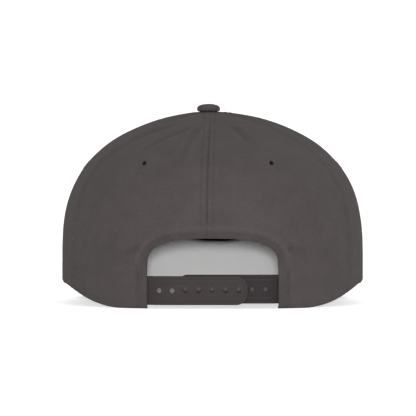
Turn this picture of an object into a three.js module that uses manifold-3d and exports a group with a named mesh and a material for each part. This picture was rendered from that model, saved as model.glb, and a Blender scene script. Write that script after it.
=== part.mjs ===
// A six panel snapback cap: crown, button, eyelets, sweatband, flat visor and snap closure.
// Millimetres, +Z up. The back of the cap faces -Y and the visor points to +Y.
// The cap stands as it would by itself, on the back of its rim and the front of its visor.
// Angles go round the crown from the middle of the back, and grow towards +X.

import * as THREE from "three";
import { mergeVertices } from "three/addons/utils/BufferGeometryUtils.js";
import Module from "manifold-3d";

const wasm = await Module();
wasm.setup();

// Crown
const crownHalfWidth = 90.2;
const crownHalfLength = 99;
const crownTop = 115;
const wallTop = 20;
const panelWall = 1.6;
const planSquareness = 2.25;
const backRoundness = { out: 1.25, up: 3.5 };
const sideRoundness = { out: 1.77, up: 3.27 };
const frontRoundness = { out: 2.1, up: 3.7 };
const apexLean = -2.4;
const leanFade = 4;
const foldDepth = 1.4;
const seamGap = 0.3;

// Rim
const rimSideLift = 12.3;
const rimFlatEnd = 31;
const rimSide = 72;

// Opening at the back
const archWidth = 75;
const archHeight = 39.5;
const archShoulder = 25;
const archSquareness = 2.6;

// Button and eyelets
const buttonRadius = 6.8;
const buttonHeight = 4.4;
const buttonSkirt = 1.3;
const buttonTurnIn = 0.9;
const shankRadius = 1.6;
const clinchRadius = 3.6;
const clinchThickness = 0.8;
const eyeletHeight = 82.5;
const eyeletRadius = 3.0;
const eyeletBore = 1.4;
const eyeletTube = 0.5;
const eyeletLip = 0.6;
const eyeletGap = 0.45;

// Sweatband
const bandHeight = 32;
const bandWall = 1.2;
const bandSetback = 1.2;
const bandEndInset = 1.5;
const bandGap = 0.6;
const bandHang = 8.5;
const bandHangStart = 120;
const bandHangFull = 150;

// Visor
const visorProjection = 68;
const visorThickness = 3;
const visorTilt = 5;
const visorArch = 3;
const visorFlare = 7;
const visorTip = 2;
const visorSquareness = 2.2;
const hornAngle = 118;

// Snap closure
const strapHeight = 16.3;
const strapFoot = 2.0;
const strapThickness = 1.2;
const strapEndRound = 6.5;
const strapTuck = 9;
const strapFlattening = 3.5;
const snapPitch = 7.5;
const snapCount = 7;
const holeInset = 7.1;
const snapsOpen = 2;
const snapMargin = 5.1;
const pegRadius = 1.5;
const pegProud = 0.5;
const pegCrown = 0.4;

// Clearance between pieces that touch on the real cap
const clearance = 0.3;
const drillLength = 8;

// Fineness of the meshes
const wallRows = 2;
const domeRows = 13;
const domeRowSpread = 1.25;
const backColumns = 12;
const otherColumns = 10;
const bandColumns = 60;
const bandRows = 4;
const visorColumns = 32;
const visorRows = 5;
const strapColumns = 30;
const roundSides = 14;
const archSteps = 20;
const buttonSides = 20;
const domeSteps = 6;
const pathSteps = 24;

// Each panel runs between two seams, with its eyelet near the middle between them
const panels = [
  { name: "back_right_panel", fromAngle: -2, toAngle: 56, eyeletAngle: 24.5, columns: backColumns },
  { name: "side_right_panel", fromAngle: 56, toAngle: 120, eyeletAngle: 88, columns: otherColumns },
  { name: "front_right_panel", fromAngle: 120, toAngle: 180, eyeletAngle: 150, columns: otherColumns },
  { name: "front_left_panel", fromAngle: 180, toAngle: 240, eyeletAngle: 210, columns: otherColumns },
  { name: "side_left_panel", fromAngle: 240, toAngle: 302, eyeletAngle: 271, columns: otherColumns },
  { name: "back_left_panel", fromAngle: 302, toAngle: 358, eyeletAngle: 331, columns: backColumns },
];

// Soft folds in the cloth, each along a line from one place to another.
// Heights are shares of the crown's height, widths of its half width and depths of foldDepth.
const folds = [
  { fromAngle: -10, top: 0.90, toAngle: -13.5, foot: 0.70, width: 0.05, depth: 0.6 },
  { fromAngle: -16, top: 0.90, toAngle: -36, foot: 0.75, width: 0.06, depth: 0.8 },
  { fromAngle: 18, top: 0.92, toAngle: 20, foot: 0.79, width: 0.06, depth: 0.7 },
  { fromAngle: -24, top: 0.30, toAngle: -33, foot: 0.27, width: 0.06, depth: 1.0 },
  { fromAngle: -15, top: 0.37, toAngle: -21, foot: 0.33, width: 0.05, depth: 0.7 },
  { fromAngle: 25, top: 0.30, toAngle: 33, foot: 0.27, width: 0.06, depth: 1.0 },
];

// Materials
const cloth = { color: 0x554e4d, roughness: 0.9, metalness: 0 };
const thread = { color: 0x4b4545, roughness: 0.85, metalness: 0 };
const plastic = { color: 0x494444, roughness: 0.45, metalness: 0 };
const paleCloth = { color: 0xc9c7c4, roughness: 0.95, metalness: 0 };

const rise = crownTop - wallTop;
const rimCut = 0.25;
const anglePasses = 12;
const apexHole = shankRadius + clearance;
const visorFront = crownHalfLength + visorProjection;

function mix(a, b, share) {
  return a + (b - a) * share;
}

// A share that goes smoothly from 0 at one value to 1 at another
function ease(value, start, end) {
  const share = THREE.MathUtils.clamp((value - start) / (end - start), 0, 1);
  return share * share * (3 - 2 * share);
}

// The angle from the middle of the back, whichever way round is shorter
function turnFromBack(angle) {
  return Math.abs(((angle + 540) % 360) - 180);
}

// The crown's outline from above, a squared oval, as a radius at each angle
function planRadius(angle) {
  const turn = THREE.MathUtils.degToRad(angle);
  const across = Math.abs(Math.sin(turn) / crownHalfWidth) ** planSquareness;
  const along = Math.abs(Math.cos(turn) / crownHalfLength) ** planSquareness;
  return (across + along) ** (-1 / planSquareness);
}

function planPoint(angle, share = 1) {
  const turn = THREE.MathUtils.degToRad(angle);
  const radius = planRadius(angle) * share;
  return new THREE.Vector3(radius * Math.sin(turn), -radius * Math.cos(turn), 0);
}

// The front panels stand up straighter than the sides, and the back slopes more
function roundness(angle) {
  const facing = Math.cos(THREE.MathUtils.degToRad(angle));
  const ahead = Math.max(0, -facing) ** 2;
  const behind = 1 - (1 - Math.max(0, facing)) ** 3;
  const toward = (measure) => (
    mix(mix(sideRoundness[measure], frontRoundness[measure], ahead),
      backRoundness[measure], behind)
  );
  return { out: toward("out"), up: toward("up") };
}

// Visor outline and surface

const hornPoint = planPoint(hornAngle);
const visorHalfWidth = hornPoint.x + visorTip;

// The visor's outer edge, from the right horn at -1 to the left horn at 1
function visorEdge(share) {
  const turn = Math.abs(share) * Math.PI / 2;
  const power = 2 / visorSquareness;
  const width = (visorHalfWidth + visorFlare * Math.sin(2 * turn)) * Math.sin(turn) ** power;
  const reach = (visorFront - hornPoint.y) * Math.max(0, Math.cos(turn)) ** power;
  return new THREE.Vector3(-Math.sign(share) * width, hornPoint.y + reach, 0);
}

function visorSlope(x, y) {
  const fall = (visorFront - y) * Math.tan(THREE.MathUtils.degToRad(visorTilt));
  return fall + visorArch * (1 - (x / visorHalfWidth) ** 2);
}

// The visor's lowest edge point is on the ground
function lowestVisorSlope() {
  let lowest = Infinity;
  for (let column = 0; column <= visorColumns; column += 1) {
    const edge = visorEdge(mix(-1, 1, column / visorColumns));
    lowest = Math.min(lowest, visorSlope(edge.x, edge.y));
  }
  return lowest;
}

const visorDrop = lowestVisorSlope();

function visorUnderside(x, y) {
  return visorSlope(x, y) - visorDrop;
}

// Crown surface

// The rim is on the ground at the back, lifts at the sides and sits on the visor at the front
function rimHeight(angle) {
  const turn = turnFromBack(angle);
  const point = planPoint(angle);
  const side = rimSideLift * ease(turn, rimFlatEnd, rimSide);
  const front = visorUnderside(point.x, point.y) + visorThickness + clearance;
  return mix(side, front, ease(turn, rimSide, hornAngle));
}

// How far up the surface a height is: below rimCut the straight wall, above it the dome
function climbAtHeight(angle, height) {
  if (height <= wallTop) {
    const rim = rimHeight(angle);
    return rimCut * (height - rim) / (wallTop - rim);
  }
  const up = ((height - wallTop) / rise) ** (roundness(angle).up / 2);
  return rimCut + (1 - rimCut) * Math.asin(up) * 2 / Math.PI;
}

function climbAtRadius(angle, radius) {
  const share = (radius / planRadius(angle)) ** (roundness(angle).out / 2);
  return rimCut + (1 - rimCut) * Math.acos(share) * 2 / Math.PI;
}

// The smooth outer surface, before folds
function smoothPoint(angle, climb) {
  if (climb <= rimCut) {
    const point = planPoint(angle);
    point.z = mix(rimHeight(angle), wallTop, climb / rimCut);
    return point;
  }
  const turn = (climb - rimCut) / (1 - rimCut) * Math.PI / 2;
  const power = roundness(angle);
  const out = Math.cos(turn) ** (2 / power.out);
  const point = planPoint(angle, out);
  point.z = wallTop + rise * Math.sin(turn) ** (2 / power.up);
  point.x += apexLean * (1 - out) ** leanFade;
  return point;
}

function outwardNormal(angle, climb) {
  const step = 1e-3;
  const low = Math.max(climb - step, 0);
  const up = smoothPoint(angle, climb + step).sub(smoothPoint(angle, low));
  const round = smoothPoint(angle + step, climb).sub(smoothPoint(angle - step, climb));
  return round.cross(up).normalize();
}

const foldLines = folds.map((fold) => ({
  line: new THREE.Line3(
    smoothPoint(fold.fromAngle, climbAtHeight(fold.fromAngle, fold.top * crownTop)),
    smoothPoint(fold.toAngle, climbAtHeight(fold.toAngle, fold.foot * crownTop)),
  ),
  width: fold.width * crownHalfWidth,
  depth: fold.depth * foldDepth,
}));

// How deep the folds press the cloth in at a point
function foldAt(point) {
  const nearest = new THREE.Vector3();
  let depth = 0;
  for (const fold of foldLines) {
    fold.line.closestPointToPoint(point, true, nearest);
    depth += fold.depth * Math.exp(-((nearest.distanceTo(point) / fold.width) ** 2));
  }
  return depth;
}

// A point on the cloth or at a depth inside it
function crownPoint(angle, climb, inset) {
  const point = smoothPoint(angle, climb);
  return point.addScaledVector(outwardNormal(angle, climb), -inset - foldAt(point));
}

// Solids

// A closed solid between an outer and an inner sheet of points, given by row and column
function sheetSolid(rows, columns, outer, inner) {
  const positions = [];
  const triangles = [];
  const perSheet = (rows + 1) * (columns + 1);
  for (const sheet of [outer, inner]) {
    for (let row = 0; row <= rows; row += 1) {
      for (let column = 0; column <= columns; column += 1) {
        positions.push(...sheet(row / rows, column / columns, row, column).toArray());
      }
    }
  }
  const at = (row, column, sheet) => sheet * perSheet + row * (columns + 1) + column;
  const quad = (a, b, c, d) => triangles.push(a, b, c, a, c, d);
  for (let row = 0; row < rows; row += 1) {
    for (let column = 0; column < columns; column += 1) {
      quad(at(row, column, 0), at(row, column + 1, 0),
        at(row + 1, column + 1, 0), at(row + 1, column, 0));
      quad(at(row, column, 1), at(row + 1, column, 1),
        at(row + 1, column + 1, 1), at(row, column + 1, 1));
    }
    quad(at(row, 0, 1), at(row, 0, 0), at(row + 1, 0, 0), at(row + 1, 0, 1));
    quad(at(row, columns, 0), at(row, columns, 1),
      at(row + 1, columns, 1), at(row + 1, columns, 0));
  }
  for (let column = 0; column < columns; column += 1) {
    quad(at(0, column, 1), at(0, column + 1, 1), at(0, column + 1, 0), at(0, column, 0));
    quad(at(rows, column, 0), at(rows, column + 1, 0),
      at(rows, column + 1, 1), at(rows, column, 1));
  }
  const geometry = new THREE.BufferGeometry();
  geometry.setAttribute("position", new THREE.Float32BufferAttribute(positions, 3));
  geometry.setIndex(triangles);
  return geometry;
}

function toManifold(geometry) {
  const plain = geometry.clone();
  plain.deleteAttribute("normal");
  plain.deleteAttribute("uv");
  const merged = mergeVertices(plain, 1e-4);
  return new wasm.Manifold(new wasm.Mesh({
    numProp: 3,
    vertProperties: new Float32Array(merged.attributes.position.array),
    triVerts: new Uint32Array(merged.index.array),
  }));
}

function toGeometry(manifold) {
  const mesh = manifold.getMesh();
  const geometry = new THREE.BufferGeometry();
  geometry.setAttribute("position", new THREE.BufferAttribute(mesh.vertProperties, mesh.numProp));
  geometry.setIndex(new THREE.BufferAttribute(mesh.triVerts, 1));
  return geometry;
}

function cut(geometry, cutters) {
  let solid = toManifold(geometry);
  for (const cutter of cutters) {
    solid = solid.subtract(toManifold(cutter));
  }
  return toGeometry(solid);
}

function part(name, geometry, finish) {
  geometry.computeVertexNormals();
  const mesh = new THREE.Mesh(geometry, new THREE.MeshStandardMaterial(finish));
  mesh.name = name;
  return mesh;
}

// A shape drawn in x and z, made into a block that runs through the back of the cap
function blockThroughBack(shape) {
  const options = { depth: 2 * crownHalfLength, bevelEnabled: false };
  return new THREE.ExtrudeGeometry(shape, options).rotateX(Math.PI / 2);
}

// Crown panels

// The opening has upright sides, and a squared oval for its shoulders and top
function archShape() {
  const half = archWidth / 2;
  const power = 2 / archSquareness;
  const shape = new THREE.Shape();
  shape.moveTo(-half, -archHeight);
  shape.lineTo(half, -archHeight);
  for (let step = 0; step <= archSteps; step += 1) {
    const turn = step / archSteps * Math.PI;
    const side = Math.sign(Math.cos(turn)) * half;
    shape.lineTo(
      side * Math.abs(Math.cos(turn)) ** power,
      archShoulder + (archHeight - archShoulder) * Math.sin(turn) ** power,
    );
  }
  shape.closePath();
  return shape;
}

function panelMiddle(panel) {
  return (panel.fromAngle + panel.toAngle) / 2;
}

// Where a panel's eyelet sits, as a place and the turn that points its axis outward
function eyeletSeat(panel) {
  const angle = panel.eyeletAngle;
  const climb = climbAtHeight(angle, eyeletHeight);
  const facing = outwardNormal(angle, climb);
  return {
    place: crownPoint(angle, climb, panelWall / 2),
    turn: new THREE.Quaternion().setFromUnitVectors(new THREE.Vector3(0, 1, 0), facing),
  };
}

function eyeletHole(panel) {
  const seat = eyeletSeat(panel);
  const radius = eyeletBore + eyeletTube + clearance;
  const drill = new THREE.CylinderGeometry(radius, radius, drillLength, roundSides);
  return drill.applyQuaternion(seat.turn).translate(...seat.place.toArray());
}

// The climb at each row of a panel's mesh, from the rim to the small hole at the apex
function panelClimb(angle, row) {
  if (row <= wallRows) {
    return rimCut * row / wallRows;
  }
  const share = ((row - wallRows) / domeRows) ** domeRowSpread;
  return mix(rimCut, climbAtRadius(angle, apexHole), share);
}

function panelPart(panel) {
  const rows = wallRows + domeRows;
  const middle = panelMiddle(panel);
  const sheet = (inset) => (up, across, row) => {
    const reach = smoothPoint(middle, panelClimb(middle, row)).setZ(0).length();
    const trim = THREE.MathUtils.radToDeg(seamGap / 2 / Math.max(reach, apexHole));
    const angle = mix(panel.fromAngle + trim, panel.toAngle - trim, across);
    return crownPoint(angle, panelClimb(angle, row), inset);
  };
  const blank = sheetSolid(rows, panel.columns, sheet(0), sheet(panelWall));
  const holes = [eyeletHole(panel), blockThroughBack(archShape())];
  return part(panel.name, cut(blank, holes), cloth);
}

// A ring that wraps the edge of the panel's hole, with a lip on each face
function eyeletPart(panel) {
  const tube = eyeletBore + eyeletTube;
  const seat = panelWall / 2 + eyeletGap;
  const face = seat + eyeletLip;
  const profile = [
    [eyeletBore, -face], [eyeletRadius, -face], [eyeletRadius, -seat], [tube, -seat],
    [tube, seat], [eyeletRadius, seat], [eyeletRadius, face], [eyeletBore, face],
    [eyeletBore, -face],
  ].map(([radius, height]) => new THREE.Vector2(radius, height));
  const mesh = part(panel.name.replace("panel", "eyelet"),
    new THREE.LatheGeometry(profile, roundSides), thread);
  const place = eyeletSeat(panel);
  mesh.position.copy(place.place);
  mesh.quaternion.copy(place.turn);
  return mesh;
}

// Button

// A low dome over the panel tips, with a shank through them and a clinched foot inside.
// The cloth falls away most towards the back.
function buttonPart() {
  const fall = crownTop - smoothPoint(0, climbAtRadius(0, clinchRadius)).z;
  const under = -fall - panelWall - clearance;
  const foot = under - clinchThickness;
  const profile = [
    [0, foot], [clinchRadius, foot], [clinchRadius, under], [shankRadius, under],
    [shankRadius, clearance], [buttonRadius - buttonTurnIn, clearance],
  ];
  for (let step = 0; step < domeSteps; step += 1) {
    const turn = step / domeSteps * Math.PI / 2;
    const height = mix(buttonSkirt, buttonHeight, Math.sin(turn));
    profile.push([buttonRadius * Math.cos(turn), height]);
  }
  profile.push([0, buttonHeight]);
  const points = profile.map(([radius, height]) => new THREE.Vector2(radius, height));
  const mesh = part("top_button", new THREE.LatheGeometry(points, buttonSides), cloth);
  mesh.rotation.x = Math.PI / 2;
  mesh.position.set(apexLean, 0, crownTop);
  return mesh;
}

// Snap closure

// The angle at which the rim is a given distance from the middle plane
function angleAtWidth(width) {
  let angle = 0;
  for (let pass = 0; pass < anglePasses; pass += 1) {
    angle = THREE.MathUtils.radToDeg(Math.asin(width / planRadius(angle)));
  }
  return angle;
}

const tabAngle = angleAtWidth(archWidth / 2);
const tuckAngle = angleAtWidth(archWidth / 2 + strapTuck);
const strapMiddle = strapFoot + strapHeight / 2;

// The straps lie inside the wall behind the tabs, and run flatter across the opening
function strapPathPoint(angle) {
  const point = planPoint(angle);
  const inset = panelWall + clearance;
  point.addScaledVector(outwardNormal(angle, 0), -inset);
  const flat = Math.max(0, 1 - (angle / tabAngle) ** 2) ** 2;
  return point.setY(point.y + strapFlattening * flat);
}

const strapPath = new THREE.CatmullRomCurve3(
  Array.from({ length: pathSteps + 1 }, (_, step) => (
    strapPathPoint(mix(-tuckAngle - 1, tuckAngle + 1, step / pathSteps))
  )),
);
const strapPathLength = strapPath.getLength();
const tabStation = strapPathLength / 2 * tabAngle / (tuckAngle + 1);
const firstHole = holeInset - archWidth / 2;
const lastHole = firstHole + (snapCount - 1) * snapPitch;
const firstPeg = firstHole + snapsOpen * snapPitch;
const outerEnd = lastHole + snapMargin;
const innerEnd = firstPeg - snapMargin;
const laneStep = strapThickness + clearance;

// The place and the outward direction at a distance along the straps from the middle
function strapStation(distance) {
  const share = 0.5 + distance / strapPathLength;
  const outward = strapPath.getTangentAt(share).cross(new THREE.Vector3(0, 0, 1)).normalize();
  return { place: strapPath.getPointAt(share), outward };
}

// The inner strap lies behind the outer one, and comes forward to its own tab
function innerLane(distance) {
  return laneStep * (1 - ease(distance, outerEnd + clearance, tabStation));
}

function strapPoint(distance, height, inset) {
  const station = strapStation(distance);
  return station.place.addScaledVector(station.outward, -inset).setZ(height);
}

// A strap from its tucked end to its rounded end, as stations with the half height at each
function strapOutline(tucked, rounded) {
  const side = Math.sign(rounded - tucked);
  const bend = rounded - side * strapEndRound;
  const straight = strapColumns - roundSides / 2;
  const stations = [];
  for (let step = 0; step <= strapColumns; step += 1) {
    const turn = Math.max(0, step - straight) / (strapColumns - straight) * Math.PI / 2;
    stations.push({
      distance: step <= straight
        ? mix(tucked, bend, step / straight)
        : bend + side * strapEndRound * Math.sin(turn),
      half: strapHeight / 2 - strapEndRound * (1 - Math.cos(turn)),
    });
  }
  return side > 0 ? stations : stations.reverse();
}

function strapBlank(tucked, rounded, lane) {
  const stations = strapOutline(tucked, rounded);
  const sheet = (inset) => (up, across, row, column) => {
    const { distance, half } = stations[column];
    return strapPoint(distance, strapMiddle + mix(-half, half, up), lane(distance) + inset);
  };
  return sheetSolid(1, strapColumns, sheet(0), sheet(strapThickness));
}

// Something round about an upright axis, laid at a place along the strap and pointed outward
function aimAtSnap(geometry, distance, inset) {
  const { outward } = strapStation(distance);
  const turn = new THREE.Quaternion().setFromUnitVectors(new THREE.Vector3(0, 1, 0), outward);
  const place = strapPoint(distance, strapMiddle, inset);
  return geometry.applyQuaternion(turn).translate(...place.toArray());
}

function outerStrapPart() {
  const tucked = -tabStation - strapTuck;
  const radius = pegRadius + clearance;
  const holes = [];
  for (let snap = 0; snap < snapCount; snap += 1) {
    const drill = new THREE.CylinderGeometry(radius, radius, drillLength, roundSides);
    holes.push(aimAtSnap(drill, firstHole + snap * snapPitch, 0));
  }
  const blank = strapBlank(tucked, outerEnd, () => 0);
  return part("outer_strap", cut(blank, holes), plastic);
}

// The pegs are moulded on the inner strap and reach through the outer strap's holes
function innerStrapPart() {
  const tucked = tabStation + strapTuck;
  const root = -strapThickness / 2;
  const head = laneStep + pegProud;
  const profile = [
    [0, root], [pegRadius, root], [pegRadius, head - pegCrown],
    [pegRadius - pegCrown, head], [0, head],
  ].map(([radius, height]) => new THREE.Vector2(radius, height));
  let solid = toManifold(strapBlank(tucked, innerEnd, innerLane));
  for (let snap = 0; snap < snapCount; snap += 1) {
    const distance = firstPeg + snap * snapPitch;
    const peg = new THREE.LatheGeometry(profile, roundSides);
    solid = solid.add(toManifold(aimAtSnap(peg, distance, innerLane(distance))));
  }
  return part("inner_strap", toGeometry(solid), plastic);
}

// Sweatband

// The band lies inside the wall, and further in where the strap ends lie between them.
// In front its lower edge hangs below the rim, behind the visor.
function sweatbandPart() {
  const start = angleAtWidth(archWidth / 2 + bandEndInset);
  const settle = 2 * (tuckAngle - tabAngle);
  const sheet = (depth) => (up, across) => {
    const angle = mix(start, 360 - start, across);
    const room = 1 - ease(turnFromBack(angle), tuckAngle + 1, tuckAngle + settle);
    const hang = bandHang * ease(turnFromBack(angle), bandHangStart, bandHangFull);
    const height = rimHeight(angle) + bandSetback + bandHeight * up - hang * (1 - up);
    const inset = panelWall + bandGap + laneStep * room + depth;
    const climb = climbAtHeight(angle, height);
    const point = crownPoint(angle, Math.max(0, climb), inset);
    return climb < 0 ? point.setZ(height) : point;
  };
  return part("sweatband", sheetSolid(bandRows, bandColumns, sheet(0), sheet(bandWall)), paleCloth);
}

// Visor

function visorPart() {
  const sheet = (thickness) => (out, across) => {
    const share = 1 - 2 * across;
    const angle = 180 + share * (180 - hornAngle);
    const inner = planPoint(angle).addScaledVector(outwardNormal(angle, 0), -panelWall);
    const point = inner.setZ(0).lerp(visorEdge(share), out);
    return point.setZ(visorUnderside(point.x, point.y) + thickness);
  };
  const blank = sheetSolid(visorRows, visorColumns, sheet(visorThickness), sheet(0));
  return part("visor", blank, cloth);
}

// The whole cap, with its origin on the ground under the middle of its box

const cap = new THREE.Group();
cap.add(...panels.map(panelPart), ...panels.map(eyeletPart), buttonPart());
cap.add(sweatbandPart(), visorPart(), outerStrapPart(), innerStrapPart());
const box = new THREE.Box3().setFromObject(cap);
const middle = box.getCenter(new THREE.Vector3());
cap.position.set(-middle.x, -middle.y, -box.min.z);

export default cap;
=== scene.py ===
# %% [markdown]
# # A six panel cap with a snap closure, seen from the back
#
# The cap is one dark, warm grey cloth all over, with straps of darker plastic and a pale sweatband
# inside. The imported model gives the frame: every piece here sits where its plain solid sits.
# So the frame is loaded first.

# %% Load the frame
import bisect
import math
import random

import bpy
from mathutils import Matrix, Vector, geometry, kdtree, noise


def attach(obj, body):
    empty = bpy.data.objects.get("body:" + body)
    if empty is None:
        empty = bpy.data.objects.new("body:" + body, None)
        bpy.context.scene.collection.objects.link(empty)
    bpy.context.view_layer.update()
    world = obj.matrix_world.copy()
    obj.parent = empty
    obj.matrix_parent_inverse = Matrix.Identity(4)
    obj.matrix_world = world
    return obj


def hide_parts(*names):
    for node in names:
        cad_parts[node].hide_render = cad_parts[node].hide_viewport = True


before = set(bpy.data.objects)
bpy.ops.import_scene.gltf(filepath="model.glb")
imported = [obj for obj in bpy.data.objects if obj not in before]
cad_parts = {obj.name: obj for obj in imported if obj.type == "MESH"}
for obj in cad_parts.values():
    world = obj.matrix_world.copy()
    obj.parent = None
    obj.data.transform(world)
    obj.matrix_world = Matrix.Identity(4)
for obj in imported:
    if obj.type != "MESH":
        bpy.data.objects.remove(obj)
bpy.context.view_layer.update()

print("solids in the frame:", len(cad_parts))

# %% [markdown]
# ## Camera, light and floor
#
# The photograph was taken from far away with a long lens, level with the lower half of the cap.
# The cap looks evenly lit, but the sweatband deep inside is bright and the opening's upper edge
# throws a narrow shadow on it. A large soft light overhead would leave the inside dark, and only a
# light close beside the lens reaches in there. So the scene has one small lamp next to the camera,
# and a pale room for the rest. The room looks white to the camera, but it lights the cap more
# dimly, and it is a little brighter above and on the right, as the photograph's shading is. The
# floor is a sheet swept up at the far end. It glows faintly, so that it stays white like the paper
# under a product picture and still takes a soft shadow.

# %% Set up the camera
MM = 0.001
PHOTO_SIDE = 416
FOCAL_PIXELS = 2313
SENSOR = 36
EYE = Vector((-2.7, -1428, 56.6)) * MM


def clear_selection():
    bpy.ops.object.select_all(action="DESELECT")


def pick(*pieces):
    """Selects these pieces alone, the first of them as the active one."""
    clear_selection()
    for piece in pieces:
        piece.select_set(True)
    bpy.context.view_layer.objects.active = pieces[0]


def join(*pieces):
    """Joins pieces into the first of them."""
    pick(*pieces)
    bpy.ops.object.join()
    return pieces[0]


clear_selection()
bpy.ops.object.camera_add(location=EYE, rotation=(math.pi / 2, 0, 0))
camera = bpy.context.object
camera.data.sensor_width = SENSOR
camera.data.lens = SENSOR * FOCAL_PIXELS / PHOTO_SIDE
bpy.context.scene.camera = camera
bpy.context.scene.view_settings.view_transform = "Standard"
print("lens, mm:", round(camera.data.lens, 1))

# %% Set up the nodes
def add_node(tree, kind, *values, **settings):
    """Adds a shader node with its settings, and fills or links its inputs in their order."""
    node = tree.nodes.new("ShaderNode" + kind)
    for name, value in settings.items():
        setattr(node, name, value)
    for socket, value in zip(node.inputs, values):
        if isinstance(value, bpy.types.NodeSocket):
            tree.links.new(value, socket)
        elif value is not None:
            socket.default_value = value
    return node


def calculate(tree, operation, *values):
    return add_node(tree, "Math", *values, operation=operation).outputs[0]

# %% Light the room
LAMP_BESIDE_EYE = Vector((2, -40, 33)) * MM
LAMP_SIZE = 60 * MM
LAMP_POWER = 9.6
ROOM_LIGHT_LEAST = 0.27
ROOM_LIGHT_MOST = 0.86
LEAST_FROM = -0.4
MOST_FROM = 1.1
BRIGHTER_ON_THE_RIGHT = 0.3

clear_selection()
bpy.ops.object.light_add(type="AREA", location=EYE + LAMP_BESIDE_EYE)
lamp = bpy.context.object
lamp.data.shape = "DISK"
lamp.data.size = LAMP_SIZE
lamp.data.energy = LAMP_POWER
lamp.rotation_euler = (-lamp.location).to_track_quat("-Z", "Y").to_euler()
lamp.visible_camera = False

room = bpy.data.worlds.new("pale_room")
room.use_nodes = True
tree = room.node_tree
direction = add_node(tree, "TexCoord").outputs["Generated"]
height = add_node(tree, "VectorMath", direction, (BRIGHTER_ON_THE_RIGHT, 0, 1), operation="DOT_PRODUCT")
lighting = add_node(tree, "MapRange", height.outputs["Value"],
                    LEAST_FROM, MOST_FROM, ROOM_LIGHT_LEAST, ROOM_LIGHT_MOST)
seen = add_node(tree, "LightPath").outputs["Is Camera Ray"]
strength = add_node(tree, "Mix", seen, None, lighting.outputs[0], 1.0)
background = tree.nodes["Background"].inputs
background["Color"].default_value = (1, 1, 1, 1)
tree.links.new(strength.outputs[0], background["Strength"])
bpy.context.scene.world = room
print("lamp at, m:", [round(value, 3) for value in lamp.location])

# %% Lay the floor
FLOOR_SIZE = 8
FLOOR_GLOW = 0.2
FLOOR_GLOW_TO_CAMERA = 0.61
SWEEP = [(0, 0.6, 0.12), (0, 0.4, 0.5), (0, 0.1, 2.0)]

clear_selection()
bpy.ops.mesh.primitive_plane_add(size=FLOOR_SIZE, location=(0, FLOOR_SIZE / 4, 0))
floor = bpy.context.object
floor.name = "studio_floor"
far_edge = FLOOR_SIZE / 2
bpy.ops.object.mode_set(mode="EDIT")
bpy.ops.mesh.select_all(action="DESELECT")
bpy.ops.object.mode_set(mode="OBJECT")
for edge in floor.data.edges:
    edge.select = all(floor.data.vertices[end].co.y > far_edge - 0.1 for end in edge.vertices)
bpy.ops.object.mode_set(mode="EDIT")
bpy.ops.mesh.select_mode(type="EDGE")
for step in SWEEP:
    bpy.ops.mesh.extrude_region_move(TRANSFORM_OT_translate={"value": step})
bpy.ops.object.mode_set(mode="OBJECT")
bpy.ops.object.transform_apply(location=True, rotation=False, scale=False)
bpy.ops.object.shade_smooth()
print("floor faces:", len(floor.data.polygons))

# %% [markdown]
# ## The block that the crown is shaped on
#
# A cap maker presses the crown over a block. This block is a squared oval from above and a squared
# dome from the side, the same surface as the plain solids have. A place on it is an angle from the
# middle of the back, which grows towards +X, and a climb from 0 at the rim to 1 at the top. The
# rim rests on the ground at the back, lifts at the sides and meets the visor in front.

# %% Shape the block
CROWN_HALF_WIDTH = 90.2 * MM
CROWN_HALF_LENGTH = 99 * MM
CROWN_TOP = 115 * MM
WALL_TOP = 20 * MM
RISE = CROWN_TOP - WALL_TOP
PLAN_SQUARENESS = 2.25
BACK_ROUNDNESS = (1.25, 3.5)
SIDE_ROUNDNESS = (1.77, 3.27)
FRONT_ROUNDNESS = (2.1, 3.7)
APEX_LEAN = -2.4 * MM
RIM_CUT = 0.25
BLOCK_TO_CAP = Vector((0, -34.207, 0)) * MM


def mix(a, b, share):
    return a + (b - a) * share


def ease(value, start, end):
    share = min(1, max(0, (value - start) / (end - start)))
    return share * share * (3 - 2 * share)


def plan_radius(angle):
    across = abs(math.sin(math.radians(angle)) / CROWN_HALF_WIDTH) ** PLAN_SQUARENESS
    along = abs(math.cos(math.radians(angle)) / CROWN_HALF_LENGTH) ** PLAN_SQUARENESS
    return (across + along) ** (-1 / PLAN_SQUARENESS)


def plan_place(angle, share=1):
    radius = plan_radius(angle) * share
    turn = math.radians(angle)
    return Vector((radius * math.sin(turn), -radius * math.cos(turn), 0))


def roundness(angle):
    """The front stands up straighter than the sides, and the back slopes more."""
    facing = math.cos(math.radians(angle))
    ahead = max(0, -facing) ** 2
    behind = 1 - (1 - max(0, facing)) ** 3
    return [mix(mix(side, front, ahead), back, behind)
            for side, front, back in zip(SIDE_ROUNDNESS, FRONT_ROUNDNESS, BACK_ROUNDNESS)]


# %% Shape the visor's outline and the rim
VISOR_FRONT = CROWN_HALF_LENGTH + 68 * MM
VISOR_THICKNESS = 3 * MM
VISOR_TILT = 5
VISOR_ARCH = 3 * MM
VISOR_FLARE = 7 * MM
VISOR_SQUARENESS = 2.2
HORN_ANGLE = 118
HORN = plan_place(HORN_ANGLE)
VISOR_HALF_WIDTH = HORN.x + 2 * MM
RIM_SIDE_LIFT = 12.3 * MM


def visor_edge(share):
    turn = abs(share) * math.pi / 2
    power = 2 / VISOR_SQUARENESS
    width = (VISOR_HALF_WIDTH + VISOR_FLARE * math.sin(2 * turn)) * math.sin(turn) ** power
    reach = (VISOR_FRONT - HORN.y) * max(0, math.cos(turn)) ** power
    return Vector((math.copysign(width, -share), HORN.y + reach, 0))


def visor_slope(place):
    fall = (VISOR_FRONT - place.y) * math.tan(math.radians(VISOR_TILT))
    return fall + VISOR_ARCH * (1 - (place.x / VISOR_HALF_WIDTH) ** 2)


visor_drop = min(visor_slope(visor_edge(step / 16 - 1)) for step in range(33))


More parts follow.
